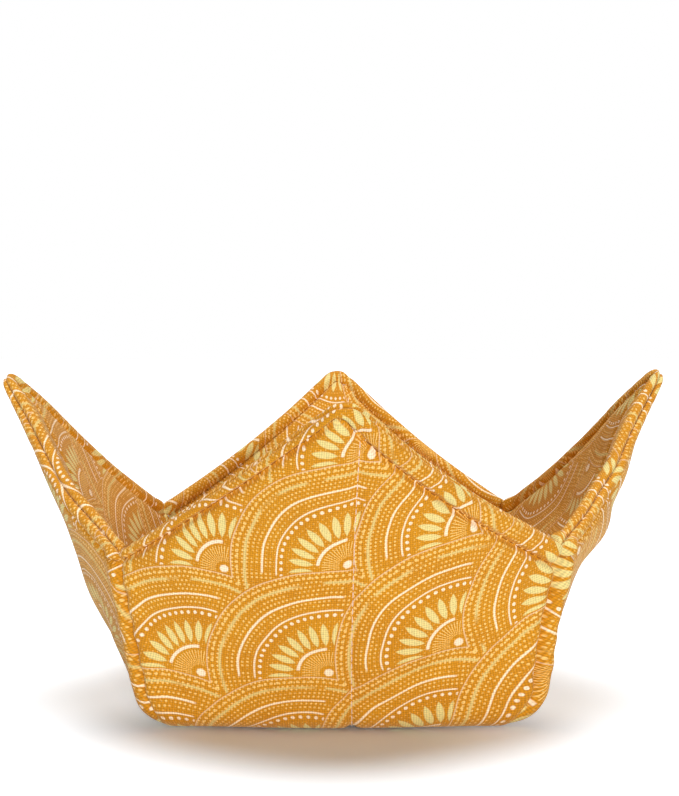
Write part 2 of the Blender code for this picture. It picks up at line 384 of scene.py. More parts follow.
def quilt_face(places, rows, insets, offset, side):
    """One face of a layer: its points, its quads and their places in the flat cloth. Offset is a
    function of (wall, share, out, inset). The last loop of ids runs round the rim."""
    count = len(places)
    ids = np.arange(count * count).reshape(count, count)
    height = len(rows) + len(insets)
    of_one_wall = (height - 1) * (count - 1)
    wall_ids = np.zeros((4, height, count), int)
    climbing = np.arange(4 * of_one_wall).reshape(4, height - 1, count - 1)
    wall_ids[:, 1:, :-1] = count * count + climbing
    wall_ids[:, 1:, -1] = np.roll(wall_ids[:, 1:, 0], -1, axis=0)
    wall_ids[:, 0] = ids[:, 0], ids[-1, :], ids[::-1, -1], ids[0, ::-1]
    points = np.zeros((count * count + 4 * of_one_wall, 3))

    # The base: four triangles of floor, each going on from its own wall
    x, y = np.meshgrid(places, places, indexing="ij")
    wall = np.where(np.abs(y) >= np.abs(x), np.where(y <= 0, 0, 2), np.where(x > 0, 1, 3))
    reach = np.maximum(np.abs(x), np.abs(y))
    sideways = np.choose(wall, [x, y, -x, -y])
    share = sideways / np.maximum(reach, 1e-9)
    out = reach * BASE_HALF
    inset = HALF_SIDE - (np.abs(x) + np.abs(y)) * BASE_HALF / ROOT_2
    placed = laid(wall, share, out, inset, offset(wall, share, out, inset), side)
    points[ids.ravel()] = placed.reshape(-1, 3)
    flat = np.stack([x, y], axis=-1) * BASE_HALF
    quads = [quads_of(ids)]
    places_in_flat = [quads_of(ids, flat.reshape(-1, 2))]

    # The four walls, from the edge of the base to the rim
    share = np.broadcast_to(places, (height, count))
    band = out_at_inset(places, RIM_BAND)
    body = [BASE_HALF + (band - BASE_HALF) * row for row in rows]
    outs = np.array(body + [out_at_inset(places, inset) for inset in insets])
    to_rim = (CORNER_OUT - np.abs(share) * half_width(outs) - outs) / ROOT_2
    inset = to_rim.copy()
    inset[len(rows):] = np.array(insets)[:, None]
    for wall in range(4):
        number = np.full(outs.shape, wall)
        placed = laid(number, share, outs, inset, offset(number, share, outs, inset), side)
        points[wall_ids[wall][1:, :-1].ravel()] = placed[1:, :-1].reshape(-1, 3)
        flat = flat_place(number, share, outs) + flat_of_roll(wall, share, inset)
        across = np.arange(outs.size).reshape(outs.shape)
        quads.append(quads_of(wall_ids[wall]))
        places_in_flat.append(quads_of(across, flat.reshape(-1, 2)))
    quads = np.concatenate(quads)
    cloth = np.concatenate(places_in_flat)
    if side < 0:
        quads, cloth = quads[:, ::-1], cloth[:, ::-1]
    rim = np.concatenate([ids_of_wall[-1, :-1] for ids_of_wall in wall_ids])
    rim_flat = np.concatenate([
        (flat_place(np.full(count, wall), places, outs[-1]) + flat_of_roll(wall, places, inset[-1]))[:-1]
        for wall in range(4)
    ])
    return points, quads, cloth, rim, rim_flat


def quads_of(grid, values=None):
    """Corners of the quads of a grid of ids, or the values at those corners."""
    corners = np.stack([grid[:-1, :-1], grid[:-1, 1:], grid[1:, 1:], grid[1:, :-1]], axis=-1)
    corners = corners.reshape(-1, 4)
    return corners if values is None else values[corners]


def flat_of_roll(wall, share, inset):
    """Where cloth that rolls over the rim lies in the flat, past its place on the middle: the
    quarter round is longer than the inset that it covers."""
    to_round = np.clip(inset / HALF_THICKNESS, 0.0, 1.0)
    extra = HALF_THICKNESS * (np.arccos(1 - to_round) - math.pi / 2 - (to_round - 1))
    along = np.stack([-extra * np.sign(share), extra, 0 * extra], axis=-1) / ROOT_2
    return turned(along, np.full(extra.shape, wall))[..., :2]


def add_piece(name, mesh):
    """An object of a mesh, smooth, in the scene and on the body."""
    mesh.shade_smooth()
    piece = bpy.data.objects.new(name, mesh)
    bpy.context.scene.collection.objects.link(piece)
    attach(piece, "root")
    return piece


def closed_layer(name, outside, inside, side):
    """A closed mesh from two faces and the strip round the rim, with a map of the flat cloth."""
    points_a, quads_a, cloth_a, rim_a, rim_flat = outside
    points_b, quads_b, cloth_b, rim_b, _ = inside
    shift = len(points_a)
    a, b = rim_a, rim_b + shift
    strip = np.stack([a, np.roll(a, -1), np.roll(b, -1), b], axis=-1)
    next_flat = np.roll(rim_flat, -1, axis=0)
    strip_cloth = np.stack([rim_flat, next_flat, next_flat, rim_flat], axis=1)
    if side < 0:
        strip, strip_cloth = strip[:, ::-1], strip_cloth[:, ::-1]
    quads = np.concatenate([quads_a, quads_b + shift, strip])
    cloth = np.concatenate([cloth_a, cloth_b, strip_cloth])
    mesh = bpy.data.meshes.new(name)
    mesh.from_pydata(np.concatenate([points_a, points_b]), [], quads)
    uv = mesh.uv_layers.new(name="cloth")
    uv.data.foreach_set("uv", cloth.reshape(-1).astype(np.float32))
    return add_piece(name, mesh)


# The topstitch wanders: its inset on the left and right slope of each wall
TOPSTITCH_INSETS = ((0.0031, 0.0064), (0.0044, 0.0052), (0.0046, 0.0050), (0.0052, 0.0042))
TOPSTITCH_VALLEY = 0.00185
TOPSTITCH_WIDTH = 0.00078
TOPSTITCH_SOFT_VALLEY = 0.0006
TOPSTITCH_SOFT_WIDTH = 0.0030
TURN_AT_POINT = 0.04


def topstitch_inset(wall, share):
    """Inset of the topstitch, turning from one slope's to the other's round the point."""
    insets = np.array(TOPSTITCH_INSETS)[wall]
    left, right = insets[..., 0], insets[..., 1]
    return left + (right - left) * smooth_step(share, -TURN_AT_POINT, TURN_AT_POINT)


# The wadding lies a little below the skin, in broader valleys, and ends short of the rim's seam.
# Its mesh is closer at the stitch lines
WADDING_EDGE = CLOTH_THICKNESS + LAYER_GAP
WADDING_SINK = 0.00025
WADDING_TOPSTITCH_WIDTH = 2.6 * TOPSTITCH_WIDTH
WADDING_DART_WIDTH = 1.9 * DART_VALLEY_WIDTH
wadding_places = spread_places(
    np.interp(np.linspace(0, 1, 26), [0, 0.2, 0.5, 0.8, 1], [1, 1.6, 2.2, 1.8, 0.8])
)
wadding_rows = np.linspace(0, 1, 30)[:-1]
wadding_insets = [0.009, 0.0078, 0.0066, 0.0057, 0.0049, 0.0042, 0.0036, 0.0031, 0.0027, 0.0024]


def wadding_skin_side(wall, share, out, inset):
    from_stitch = inset - topstitch_inset(wall, share)
    loft = quilted_loft(wall, share, out) - WADDING_EDGE - WADDING_SINK
    loft = loft - valley(from_stitch, TOPSTITCH_VALLEY, WADDING_TOPSTITCH_WIDTH)
    loft = loft - valley(to_dart_seam(share, out), DART_VALLEY, WADDING_DART_WIDTH)
    return np.maximum(rolled(loft, inset, WADDING_EDGE), LAYER_GAP)


def wadding_middle_side(wall, share, out, inset):
    return np.full(out.shape, LAYER_GAP / 2)


def wadding_layer(name, node, side):
    skin_side = quilt_face(wadding_places, wadding_rows, wadding_insets, wadding_skin_side, side)
    middle = quilt_face(wadding_places, wadding_rows, wadding_insets, wadding_middle_side, side)
    points, quads, cloth, rim, rim_flat = middle
    back = (points, quads[:, ::-1], cloth[:, ::-1], rim, rim_flat)
    piece = closed_layer(name, skin_side, back, side)
    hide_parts(node)
    return piece


def new_material(name):
    """A material with its shader, and its node tree."""
    material = bpy.data.materials.new(name)
    material.use_nodes = True
    tree = material.node_tree
    return material, tree, tree.nodes["Principled BSDF"]


def noise(tree, place, scale, detail=2.0):
    """A noise texture at places that a socket gives."""
    node = tree.nodes.new("ShaderNodeTexNoise")
    node.inputs["Scale"].default_value = scale
    node.inputs["Detail"].default_value = detail
    tree.links.new(place, node.inputs["Vector"])
    return node.outputs


def relief(tree, shader, height, distance, strength=1.0):
    """A fine relief on a shader."""
    bump = tree.nodes.new("ShaderNodeBump")
    bump.inputs["Strength"].default_value = strength
    bump.inputs["Distance"].default_value = distance
    tree.links.new(height, bump.inputs["Height"])
    tree.links.new(bump.outputs["Normal"], shader.inputs["Normal"])


def mottled(tree, shader, scale, detail, tones, depth):
    """A shader of two tones, dark and light, each with its place, in a fine uneven relief."""
    place = tree.nodes.new("ShaderNodeTexCoord").outputs["Object"]
    mottle = noise(tree, place, scale, detail)["Fac"]
    ramp = tree.nodes.new("ShaderNodeValToRGB")
    for element, (position, colour) in zip(ramp.color_ramp.elements, tones):
        element.position = position
        element.color = colour
    tree.links.new(mottle, ramp.inputs["Fac"])
    tree.links.new(ramp.outputs["Color"], shader.inputs["Base Color"])
    relief(tree, shader, mottle, depth)


wadding_felt, tree, shader = new_material("undyed_wadding")
WADDING_TONES = ((0.0, (0.72, 0.68, 0.58, 1)), (1.0, (0.88, 0.85, 0.77, 1)))
mottled(tree, shader, 900.0, 6.0, WADDING_TONES, 0.0004)
shader.inputs["Roughness"].default_value = 0.95

outer_wadding = wadding_layer("outer_wadding", "outer_batting", 1)
lining_wadding = wadding_layer("lining_wadding", "lining_batting", -1)
for piece in (outer_wadding, lining_wadding):
    piece.data.materials.append(wadding_felt)


# Printed outer cover
# A square of gold cotton canvas with a scallop print, darted at the middle of each side and
# turned over the rim. The topstitch along the rim and the quilting pull it down onto the wadding.

# The ridge that the turned-in cloth raises beside the dart seams, its height for each wall
SEAM_RIDGE = (0.0009, 0.0028, 0.0010, 0.0013)
SEAM_RIDGE_PLACE = 0.0038
SEAM_RIDGE_WIDTH = 0.0027
# The two skins meet at the rim, where they are sewn together
SEAM_GAP = 0.00002
# Soft folds in the cover, in the flat: start, end, depth and width
FOLDS = (
    ((0.0060, -0.0600), (0.0158, -0.0745), 0.00060, 0.0026),
    ((0.0158, -0.0745), (0.0440, -0.0812), 0.00075, 0.0030),
    ((-0.0096, -0.1492), (-0.0391, -0.1233), 0.00045, 0.0018),
    ((0.0500, -0.0660), (0.0585, -0.0560), -0.00110, 0.0032),
    ((0.0565, -0.0700), (0.0640, -0.0600), 0.00060, 0.0022),
    ((-0.0500, -0.0640), (-0.0600, -0.0570), -0.00060, 0.0030),
    ((-0.0780, -0.0200), (-0.0980, -0.0420), 0.00060, 0.0034),
    ((0.0800, 0.0200), (0.0960, 0.0420), 0.00055, 0.0034),
    ((-0.0200, 0.0760), (0.0240, 0.0860), 0.00050, 0.0034),
)
# Puckers: height, and how far they reach from the topstitch, a dart seam or the quilting, and
# the length of one along it
STITCH_PULL = 0.00013
STITCH_PULL_REACH = 0.0030
STITCH_PULL_PITCH = 0.0052
SEAM_PINCH = 0.00034
SEAM_PINCH_REACH = 0.0045
SEAM_PINCH_PITCH = 0.0083
QUILT_TUG = 0.00010
QUILT_TUG_REACH = 0.0035
QUILT_TUG_PITCH = 0.0067
EASE = 0.00016
PUCKER_RISE = 0.02

skin_places = spread_places(
    np.interp(np.linspace(0, 1, 52), [0, 0.18, 0.3, 0.75, 0.9, 1], [0.7, 0.75, 1.5, 1.6, 0.8, 0.6])
)
skin_rows = np.linspace(0, 1, 61)[:-1]
skin_insets = np.concatenate([
    np.arange(0.0090, 0.0020, -0.0004),
    [0.0019, 0.0015, 0.0011, 0.00075, 0.00045, 0.0002, 0.00006, 0.0],
])


def soft_waves(flat, seed):
    """Slow uneven waves over the flat cloth, from -1 to 1: a sum of five crossing ripples."""
    total = 0.0
    for number in range(5):
        angle = 2.4 * number + 0.7 * seed
        length = 0.013 + 0.0055 * number
        along = flat[..., 0] * math.cos(angle) + flat[..., 1] * math.sin(angle)
        total = total + np.sin(2 * math.pi * along / length + 1.7 * number * seed) / 5
    return total


def skin_height(wall, share, out, inset, seed):
    """Height of a skin over the middle of the quilt, with all its stitch lines and puckers."""
    flat = flat_place(wall, share, out)
    loft = quilted_loft(wall, share, out)
    from_stitch = inset - topstitch_inset(wall, share)
    to_seam = to_dart_seam(share, out)
    climb = smooth_step(out, BASE_HALF, BASE_HALF + PUCKER_RISE)

    # Puckers along the topstitch, the dart seams and the quilting, no two of one length
    run = (np.abs(share) * half_width(out) - out) / ROOT_2
    uneven = 1.3 * np.sin(run / 0.013 + seed)
    beat = np.sin(2 * math.pi * (run + 0.5 * inset) / STITCH_PULL_PITCH + uneven)
    pull = beat * valley(from_stitch, STITCH_PULL, STITCH_PULL_REACH)
    uneven = 2.0 * np.sin(out / 0.019 + seed + wall)
    beat = np.sin(2 * math.pi * out / SEAM_PINCH_PITCH + uneven)
    pinch = beat * valley(to_seam, SEAM_PINCH, SEAM_PINCH_REACH)
    beat = np.sin(2 * math.pi * out / QUILT_TUG_PITCH + np.sin(out / 0.017 + seed))
    tug = beat * valley(to_quilting_line(flat), QUILT_TUG, QUILT_TUG_REACH)
    ease = EASE * soft_waves(flat, seed) * climb

    groove = valley(from_stitch, TOPSTITCH_VALLEY, TOPSTITCH_WIDTH)
    groove = groove + valley(from_stitch, TOPSTITCH_SOFT_VALLEY, TOPSTITCH_SOFT_WIDTH)
    crease = valley(to_seam, DART_VALLEY, DART_VALLEY_WIDTH) * dart_run_out(out)
    allowance = np.array(SEAM_RIDGE)[wall] * dart_run_out(out)
    ridge = valley(to_seam - SEAM_RIDGE_PLACE, allowance, SEAM_RIDGE_WIDTH)
    height = loft + (pinch + tug) * climb + ease - groove + pull - crease + ridge
    return np.maximum(rolled(height, inset, 0.0), SEAM_GAP)


def folds(flat):
    """How far the soft folds of the cover sink it, at places in the flat."""
    sunk = 0.0
    for start, end, depth, width in FOLDS:
        start, end = np.array(start), np.array(end)
        way = end - start
        along = np.clip(((flat - start) @ way) / (way @ way), 0.0, 1.0)
        distance = np.linalg.norm(flat - start - along[..., None] * way, axis=-1)
        sunk = sunk + valley(distance, depth, width) * (1 - 0.5 * np.abs(2 * along - 1))
    return sunk


def cover_height(wall, share, out, inset):
    height = skin_height(wall, share, out, inset, 1.0)
    return np.maximum(SEAM_GAP, height - folds(flat_place(wall, share, out)))


def inner_face(face):
    """The back of a skin: its face moved in by the thickness of the cloth, along its normals."""
    points, quads, cloth, rim, rim_flat = face
    a, b, c, d = (points[quads[:, corner]] for corner in range(4))
    facing = np.cross(c - a, d - b)
    normals = np.zeros_like(points)
    for corner in range(4):
        np.add.at(normals, quads[:, corner], facing)
    moved = points - unit(normals) * CLOTH_THICKNESS
    return moved, quads[:, ::-1], cloth[:, ::-1], rim, rim_flat


def skin_layer(name, node, height, side):
    face = quilt_face(skin_places, skin_rows, skin_insets, height, side)
    if side > 0:
        face[0][:, 2] = np.maximum(face[0][:, 2], 0.0)
    piece = closed_layer(name, face, inner_face(face), side)
    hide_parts(node)
    return piece


cover = skin_layer("printed_cover", "outer_cover", cover_height, 1)

# The scallop print, in millimetres: rows of overlapping discs, each with the same rings
COLUMN_PITCH = 60.0
ROW_PITCH = 22.65
DISC_RADIUS = 36.0
PRINT_SHIFT = (35.5, 11.3)
HAND_DRIFT = 3.0
# What a disc holds, by radius: its centre, a ring of rays, the petals, a ring of pearls, rows of
# small dots between the lines, a broken band, a ring of large dots and the border
CENTRE_DOT = 1.3
RAYS = 5.2
RAY_HALF_LENGTH = 2.5
RAYS_TO_RADIAN = 7.5
PETALS = 14.0
PETAL_HALF_LENGTH = 3.8
PETAL_HALF_WIDTH = 1.1
PETAL_PITCH = 0.235
FAN_ANGLE = 0.95
FAINT_DOTS_END = 19.0
PEARLS = 20.3
PEARL_ANGLE = 1.0
DOTS_START = 22.6
DOT_ROW_PITCH = 1.4
DOT_PITCH = 1.35
BROKEN_BAND = 31.5
LARGE_DOTS = 33.8
BORDER = 35.4
# Cream lines: radius, half width, angle to which they run on each side, and how soft they end
CREAM_LINES = ((8.9, 0.48, 0.72, 0.03), (21.9, 0.24, 0.98, 0.02), (26.4, 0.30, 0.95, 0.02))
INK = 0.85
CREAM_INK = 0.90
THREAD_PITCH = 0.5
# The scale on the cloth's colour from the lowest to the highest weave: the threads' own tone, and painted
# shade and highlight of the weave
WEAVE_TONE_AND_PAINTED_SHADE = (0.50, 1.24)
GOLD = (0.665, 0.285, 0.007, 1)
DEEP_GOLD = (0.53, 0.190, 0.004, 1)
CREAM = (1.0, 0.80, 0.56, 1)
PALE_GREEN = (0.80, 0.68, 0.27, 1)
PALE_YELLOW = (0.96, 0.62, 0.20, 1)


def calc(tree, operation, *values):
    """A Math node on numbers or sockets, and its result."""
    node = tree.nodes.new("ShaderNodeMath")
    node.operation = operation
    for socket, value in zip(node.inputs, values):
        if isinstance(value, (int, float)):
            socket.default_value = value
        else:
            tree.links.new(value, socket)
    return node.outputs[0]


def soft_edge(tree, distance, size, softness):
    """1 where a distance is under a size, falling evenly to 0 past it."""
    node = tree.nodes.new("ShaderNodeMapRange")
    node.interpolation_type = "SMOOTHSTEP"
    node.inputs["From Min"].default_value = size - softness
    node.inputs["From Max"].default_value = size + softness
    node.inputs["To Min"].default_value = 1.0
    node.inputs["To Max"].default_value = 0.0
    tree.links.new(distance, node.inputs["Value"])
    return node.outputs[0]


def ring(tree, radius, at, half_line, softness=0.16):
    """A line of the print, or a broad ring, round the disc's centre."""
    off = calc(tree, "ABSOLUTE", calc(tree, "SUBTRACT", radius, at))
    return soft_edge(tree, off, half_line, softness)


def from_nearest(tree, value, pitch):
    """How far a value is from the nearest multiple of a pitch."""
    nearest = calc(tree, "SNAP", calc(tree, "ADD", value, pitch / 2), pitch)
    return calc(tree, "SUBTRACT", value, nearest)


def beads(tree, radius, angle, at, spacing, size, softness=0.14):
    """Dots of the print along a ring, whose radius may vary from place to place."""
    off = from_nearest(tree, calc(tree, "MULTIPLY", angle, at), spacing)
    radial = calc(tree, "SUBTRACT", radius, at)
    squares = calc(tree, "ADD", calc(tree, "POWER", off, 2.0), calc(tree, "POWER", radial, 2.0))
    return soft_edge(tree, calc(tree, "SQRT", squares), size, softness)


def either(tree, *masks):
    result = masks[0]
    for mask in masks[1:]:
        result = calc(tree, "MAXIMUM", result, mask)
    return result


def disc_place(tree, u, v, row):
    """Place in a disc of one row: across and up from its centre, and distance from it."""
    odd = calc(tree, "ABSOLUTE", calc(tree, "MODULO", row, 2.0))
    start = calc(tree, "MULTIPLY", odd, COLUMN_PITCH / 2)
    moved = calc(tree, "ADD", calc(tree, "SUBTRACT", u, start), COLUMN_PITCH / 2)
    across = calc(tree, "SUBTRACT", calc(tree, "FLOORED_MODULO", moved, COLUMN_PITCH), COLUMN_PITCH / 2)
    up = calc(tree, "SUBTRACT", v, calc(tree, "MULTIPLY", row, ROW_PITCH))
    squares = calc(tree, "ADD", calc(tree, "POWER", across, 2.0), calc(tree, "POWER", up, 2.0))
    return across, up, calc(tree, "SQRT", squares)


def choose(tree, chance, when_0, when_1):
    """One of two numbers, by a mask."""
    difference = calc(tree, "SUBTRACT", when_1, when_0)
    return calc(tree, "MULTIPLY_ADD", difference, chance, when_0)


def tint(tree, mask, below, above):
    """A colour laid over another through a mask."""
    node = tree.nodes.new("ShaderNodeMix")
    node.data_type = "RGBA"
    tree.links.new(mask, node.inputs["Factor"])
    for socket, value in ((node.inputs["A"], below), (node.inputs["B"], above)):
        if isinstance(value, tuple):
            socket.default_value = value
        else:
            tree.links.new(value, socket)
    return node.outputs["Result"]


def scallop_print():
    """The cloth as a node group: its colour, and the height of its weave."""
    group = bpy.data.node_groups.new("gold_scallop_canvas", "ShaderNodeTree")
    group.interface.new_socket("Color", in_out="OUTPUT", socket_type="NodeSocketColor")
    group.interface.new_socket("Weave", in_out="OUTPUT", socket_type="NodeSocketFloat")
    nodes, links = group.nodes, group.links

    def work(operation, *values):
        return calc(group, operation, *values)

    def times(*values):
        return calc(group, "MULTIPLY", *values)

    # Place in the cloth, in millimetres across and up the print, a little uneven as if by hand
    flat = nodes.new("ShaderNodeUVMap")
    flat.uv_map = "cloth"
    place = flat.outputs["UV"]
    drifts = nodes.new("ShaderNodeSeparateXYZ")
    links.new(noise(group, place, 55.0, 0.5)["Color"], drifts.inputs[0])
    parts = nodes.new("ShaderNodeSeparateXYZ")
    links.new(place, parts.inputs[0])
    x, y = parts.outputs["X"], parts.outputs["Y"]
    scale = 1000 / ROOT_2
    straight_u = times(work("SUBTRACT", x, y), scale)
    straight_v = times(work("ADD", x, y), -scale)
    u, v = (
        work("ADD", straight, work("MULTIPLY_ADD", drift, HAND_DRIFT, shift - HAND_DRIFT / 2))
        for straight, drift, shift in zip((straight_u, straight_v), drifts.outputs, PRINT_SHIFT)
    )

    # Which disc a place belongs to: of those that reach it, the one of the lowest row
    row = work("FLOOR", work("DIVIDE", v, ROW_PITCH))
    above = disc_place(group, u, v, work("ADD", row, 1.0))
    level = disc_place(group, u, v, row)
    below = disc_place(group, u, v, work("SUBTRACT", row, 1.0))
    in_level = work("LESS_THAN", level[2], DISC_RADIUS)
    in_below = work("LESS_THAN", below[2], DISC_RADIUS)
    across, up, radius = (
        choose(group, in_below, choose(group, in_level, a, b), c) for a, b, c in zip(above, level, below)
    )
    angle = work("ARCTAN2", across, up)
    tilt = work("ABSOLUTE", angle)

    # Cream: the centre, a short thick arc, a ring of pearls, two long lines and the faint border
    pearls = beads(group, radius, angle, PEARLS, 2.25, 0.56)
    cream = [
        soft_edge(group, radius, CENTRE_DOT, 0.25),
        times(pearls, soft_edge(group, tilt, PEARL_ANGLE, 0.02)),
        times(ring(group, radius, BORDER, 0.18), 0.5),
    ]
    for at, half_line, reach, softness in CREAM_LINES:
        ends = soft_edge(group, tilt, reach, softness)
        cream.append(times(ring(group, radius, at, half_line), ends))
    cream = either(group, *cream)

    # Yellow: rays, large dots, and rows of small dots, worn outside and faint among the petals
    ray = work("PINGPONG", times(angle, RAYS_TO_RADIAN), 0.5)
    rays = times(soft_edge(group, ray, 0.14, 0.10), ring(group, radius, RAYS, RAY_HALF_LENGTH, 0.2))
    dot_row = work("SNAP", work("ADD", radius, DOT_ROW_PITCH / 2), DOT_ROW_PITCH)
    dots = beads(group, radius, angle, dot_row, DOT_PITCH, 0.34)
    dots = times(dots, work("GREATER_THAN", radius, DOTS_START))
    dots = times(dots, soft_edge(group, noise(group, place, 420.0)["Fac"], 0.56, 0.10))
    faint = beads(group, radius, angle, dot_row, DOT_PITCH, 0.20)
    faint = times(times(faint, work("LESS_THAN", radius, FAINT_DOTS_END)), 0.6)
    large_dots = beads(group, radius, angle, LARGE_DOTS, 1.9, 0.46)
    yellow = either(group, rays, dots, large_dots, faint)

    # Pale green: a fan of petals, and a broken band near the border
    off = times(work("ABSOLUTE", from_nearest(group, angle, PETAL_PITCH)), radius)
    along = work("DIVIDE", work("SUBTRACT", radius, PETALS), PETAL_HALF_LENGTH)
    taper = work("POWER", work("ABSOLUTE", along), 2.4)
    girth = work("MULTIPLY_ADD", taper, -PETAL_HALF_WIDTH, PETAL_HALF_WIDTH)
    petals = soft_edge(group, work("SUBTRACT", off, girth), 0.0, 0.22)
    petals = times(petals, soft_edge(group, tilt, FAN_ANGLE, 0.02))
    band = ring(group, radius, BROKEN_BAND, 0.42, 0.25)
    band = times(band, soft_edge(group, noise(group, place, 75.0)["Fac"], 0.60, 0.05))
    green = either(group, petals, times(band, 0.75))

    # The canvas: two sets of threads over and under each other, no two of one tone. Its colour is scaled by
    # the weave: partly the threads' own tone, partly painted shade where they dip under and painted
    # highlight on their tops
    beats = [work("SINE", times(straight, math.pi / THREAD_PITCH)) for straight in (straight_u, straight_v)]
    over = work("MULTIPLY_ADD", times(*beats), 0.5, 0.5)
    fibres = noise(group, place, 1300.0, 3.0)["Fac"]
    weave = work("MULTIPLY_ADD", fibres, 0.9, times(over, 0.8))

    ground = tint(group, noise(group, place, 70.0, 4.0)["Fac"], DEEP_GOLD, GOLD)
    ground = tint(group, times(green, INK), ground, PALE_GREEN)
    ground = tint(group, times(yellow, INK), ground, PALE_YELLOW)
    ground = tint(group, times(cream, CREAM_INK), ground, CREAM)
    # Painted shade in the dips of the weave and painted highlight on its tops, with the threads' own tone,
    # as a scale on the print's colour
    weave_tone_and_painted_shade = nodes.new("ShaderNodeMapRange")
    weave_tone_and_painted_shade.inputs["From Max"].default_value = 1.3
    weave_tone_and_painted_shade.inputs["To Min"].default_value = WEAVE_TONE_AND_PAINTED_SHADE[0]
    weave_tone_and_painted_shade.inputs["To Max"].default_value = WEAVE_TONE_AND_PAINTED_SHADE[1]
    links.new(weave, weave_tone_and_painted_shade.inputs["Value"])
    print_with_painted_shade = nodes.new("ShaderNodeVectorMath")
    print_with_painted_shade.operation = "SCALE"
    links.new(ground, print_with_painted_shade.inputs[0])
    links.new(weave_tone_and_painted_shade.outputs[0], print_with_painted_shade.inputs["Scale"])
    result = nodes.new("NodeGroupOutput")
    links.new(print_with_painted_shade.outputs[0], result.inputs["Color"])
    links.new(weave, result.inputs["Weave"])
    return group


printed_canvas, tree, shader = new_material("gold_printed_canvas")
cloth = tree.nodes.new("ShaderNodeGroup")
cloth.node_tree = scallop_print()
tree.links.new(cloth.outputs["Color"], shader.inputs["Base Color"])
relief(tree, shader, cloth.outputs["Weave"], 0.00016, 0.75)
shader.inputs["Roughness"].default_value = 0.82
shader.inputs["Specular IOR Level"].default_value = 0.25
shader.inputs["Sheen Weight"].default_value = 0.18
shader.inputs["Sheen Roughness"].default_value = 0.45
shader.inputs["Sheen Tint"].default_value = (1.0, 0.85, 0.6, 1)
cover.data.materials.append(printed_canvas)


# Printed lining
# A second square of the same canvas, darted like the cover and sewn to it round the rim. It is
# the inside of the bowl, and takes the pull of the same topstitch.


def lining_height(wall, share, out, inset):
    return skin_height(wall, share, out, inset, 2.6)


lining = skin_layer("printed_lining", "lining", lining_height, -1)
lining.data.materials.append(printed_canvas)


# Quilting thread
# Pale cotton, sewn corner to corner both ways through the cover and its wadding, and again
# through the lining and its own, before the darts. It lies sunk in the line that it pulls in.

QUILT_STITCH_PITCH = 0.0027
QUILT_STITCH_LENGTH = 0.0022
QUILT_THREAD_RADIUS = 0.00017
QUILT_THREAD_LIFT = 0.00012
QUILT_END_INSET = 0.0070
PATH_STEP = 0.0004
STITCH_SIDES = 6
STITCH_RINGS = 7


def flat_to_wall(x, y):
    """Wall, share across and distance out of places in the flat cloth."""
    upright = np.abs(y) >= np.abs(x)
    wall = np.where(upright, np.where(y <= 0, 0, 2), np.where(x > 0, 1, 3))
    out = np.maximum(np.abs(x), np.abs(y))
    across = np.choose(wall, [x, y, -x, -y])
    return wall, across / np.maximum(half_width(out), 1e-9), out


def on_skin(x, y, height, side, lift):
    """Points a little above a skin, at places in the flat cloth, and the way up from it."""
    wall, share, out = flat_to_wall(x, y)
    share = np.clip(share, -1.0, 1.0)
    inset = HALF_SIDE - (np.abs(x) + np.abs(y)) / ROOT_2
    skin = height(wall, share, out, inset)
    points = laid(wall, share, out, inset, skin + lift, side)
    return points, unit(points - laid(wall, share, out, inset, skin, side))


def stitches(name, paths, radius, pitch, length, bow):
    """One mesh of all the stitches along some paths. Each is a short thread that comes up
    through the cloth, bows over it and goes down again. A path is points and the way up."""
    corners, faces = [], []
    turn = 2 * math.pi * np.arange(STITCH_SIDES) / STITCH_SIDES
    for points, up in paths:
        step = np.linalg.norm(np.diff(points, axis=0), axis=1)
        along = np.concatenate([[0.0], np.cumsum(step)])
        for start in np.arange(0.3 * pitch, along[-1] - length, pitch):
            part = np.linspace(0, 1, STITCH_RINGS)
            at = start + part * length
            centre = np.stack([np.interp(at, along, points[:, axis]) for axis in range(3)], axis=1)
            rise = unit(np.stack([np.interp(at, along, up[:, axis]) for axis in range(3)], axis=1))
            forward = unit(np.gradient(centre, axis=0))
            aside = unit(np.cross(rise, forward))
            rise = np.cross(forward, aside)
            arch = np.sin(math.pi * part)[:, None] ** 0.6
            girth = radius * (0.35 + 0.65 * arch)
            centre = centre + rise * (bow * (arch - 0.55))
            around = np.cos(turn)[:, None] * aside[:, None, :] + np.sin(turn)[:, None] * rise[:, None, :]
            grid = np.arange(STITCH_RINGS * STITCH_SIDES).reshape(STITCH_RINGS, STITCH_SIDES)
            grid = grid + len(corners) * grid.size
            corners.append((centre[:, None, :] + girth[:, None] * around).reshape(-1, 3))
            faces.extend(quads_of(np.concatenate([grid, grid[:, :1]], axis=1)).tolist())
            faces.append(grid[0, ::-1].tolist())
            faces.append(grid[-1].tolist())
    mesh = bpy.data.meshes.new(name)
    mesh.from_pydata(np.concatenate(corners), [], faces)
    return add_piece(name, mesh)


def twisted_thread(name, dark, light):
    """Spun cotton: fine streaks of two tones, wound round the thread."""
    material, tree, shader = new_material(name)
    mottled(tree, shader, 2600.0, 3.0, ((0.3, dark), (0.7, light)), 0.00008)
    shader.inputs["Roughness"].default_value = 0.75
    shader.inputs["Specular IOR Level"].default_value = 0.2
    return material


pale_thread = twisted_thread("pale_quilting_thread", (0.72, 0.50, 0.36, 1), (0.95, 0.78, 0.64, 1))


def quilting(name, height, side):
    reach = CORNER_OUT - QUILT_END_INSET * ROOT_2 - QUILT_LINE_X
    line = np.arange(-reach, reach, PATH_STEP)
    paths = [
        on_skin(np.full(line.shape, QUILT_LINE_X), line, height, side, QUILT_THREAD_LIFT),
        on_skin(line, np.full(line.shape, QUILT_LINE_Y), height, side, QUILT_THREAD_LIFT),
    ]
    sizes = (QUILT_THREAD_RADIUS, QUILT_STITCH_PITCH, QUILT_STITCH_LENGTH, QUILT_THREAD_LIFT)
    thread = stitches(name, paths, *sizes)
    thread.data.materials.append(pale_thread)
    return thread


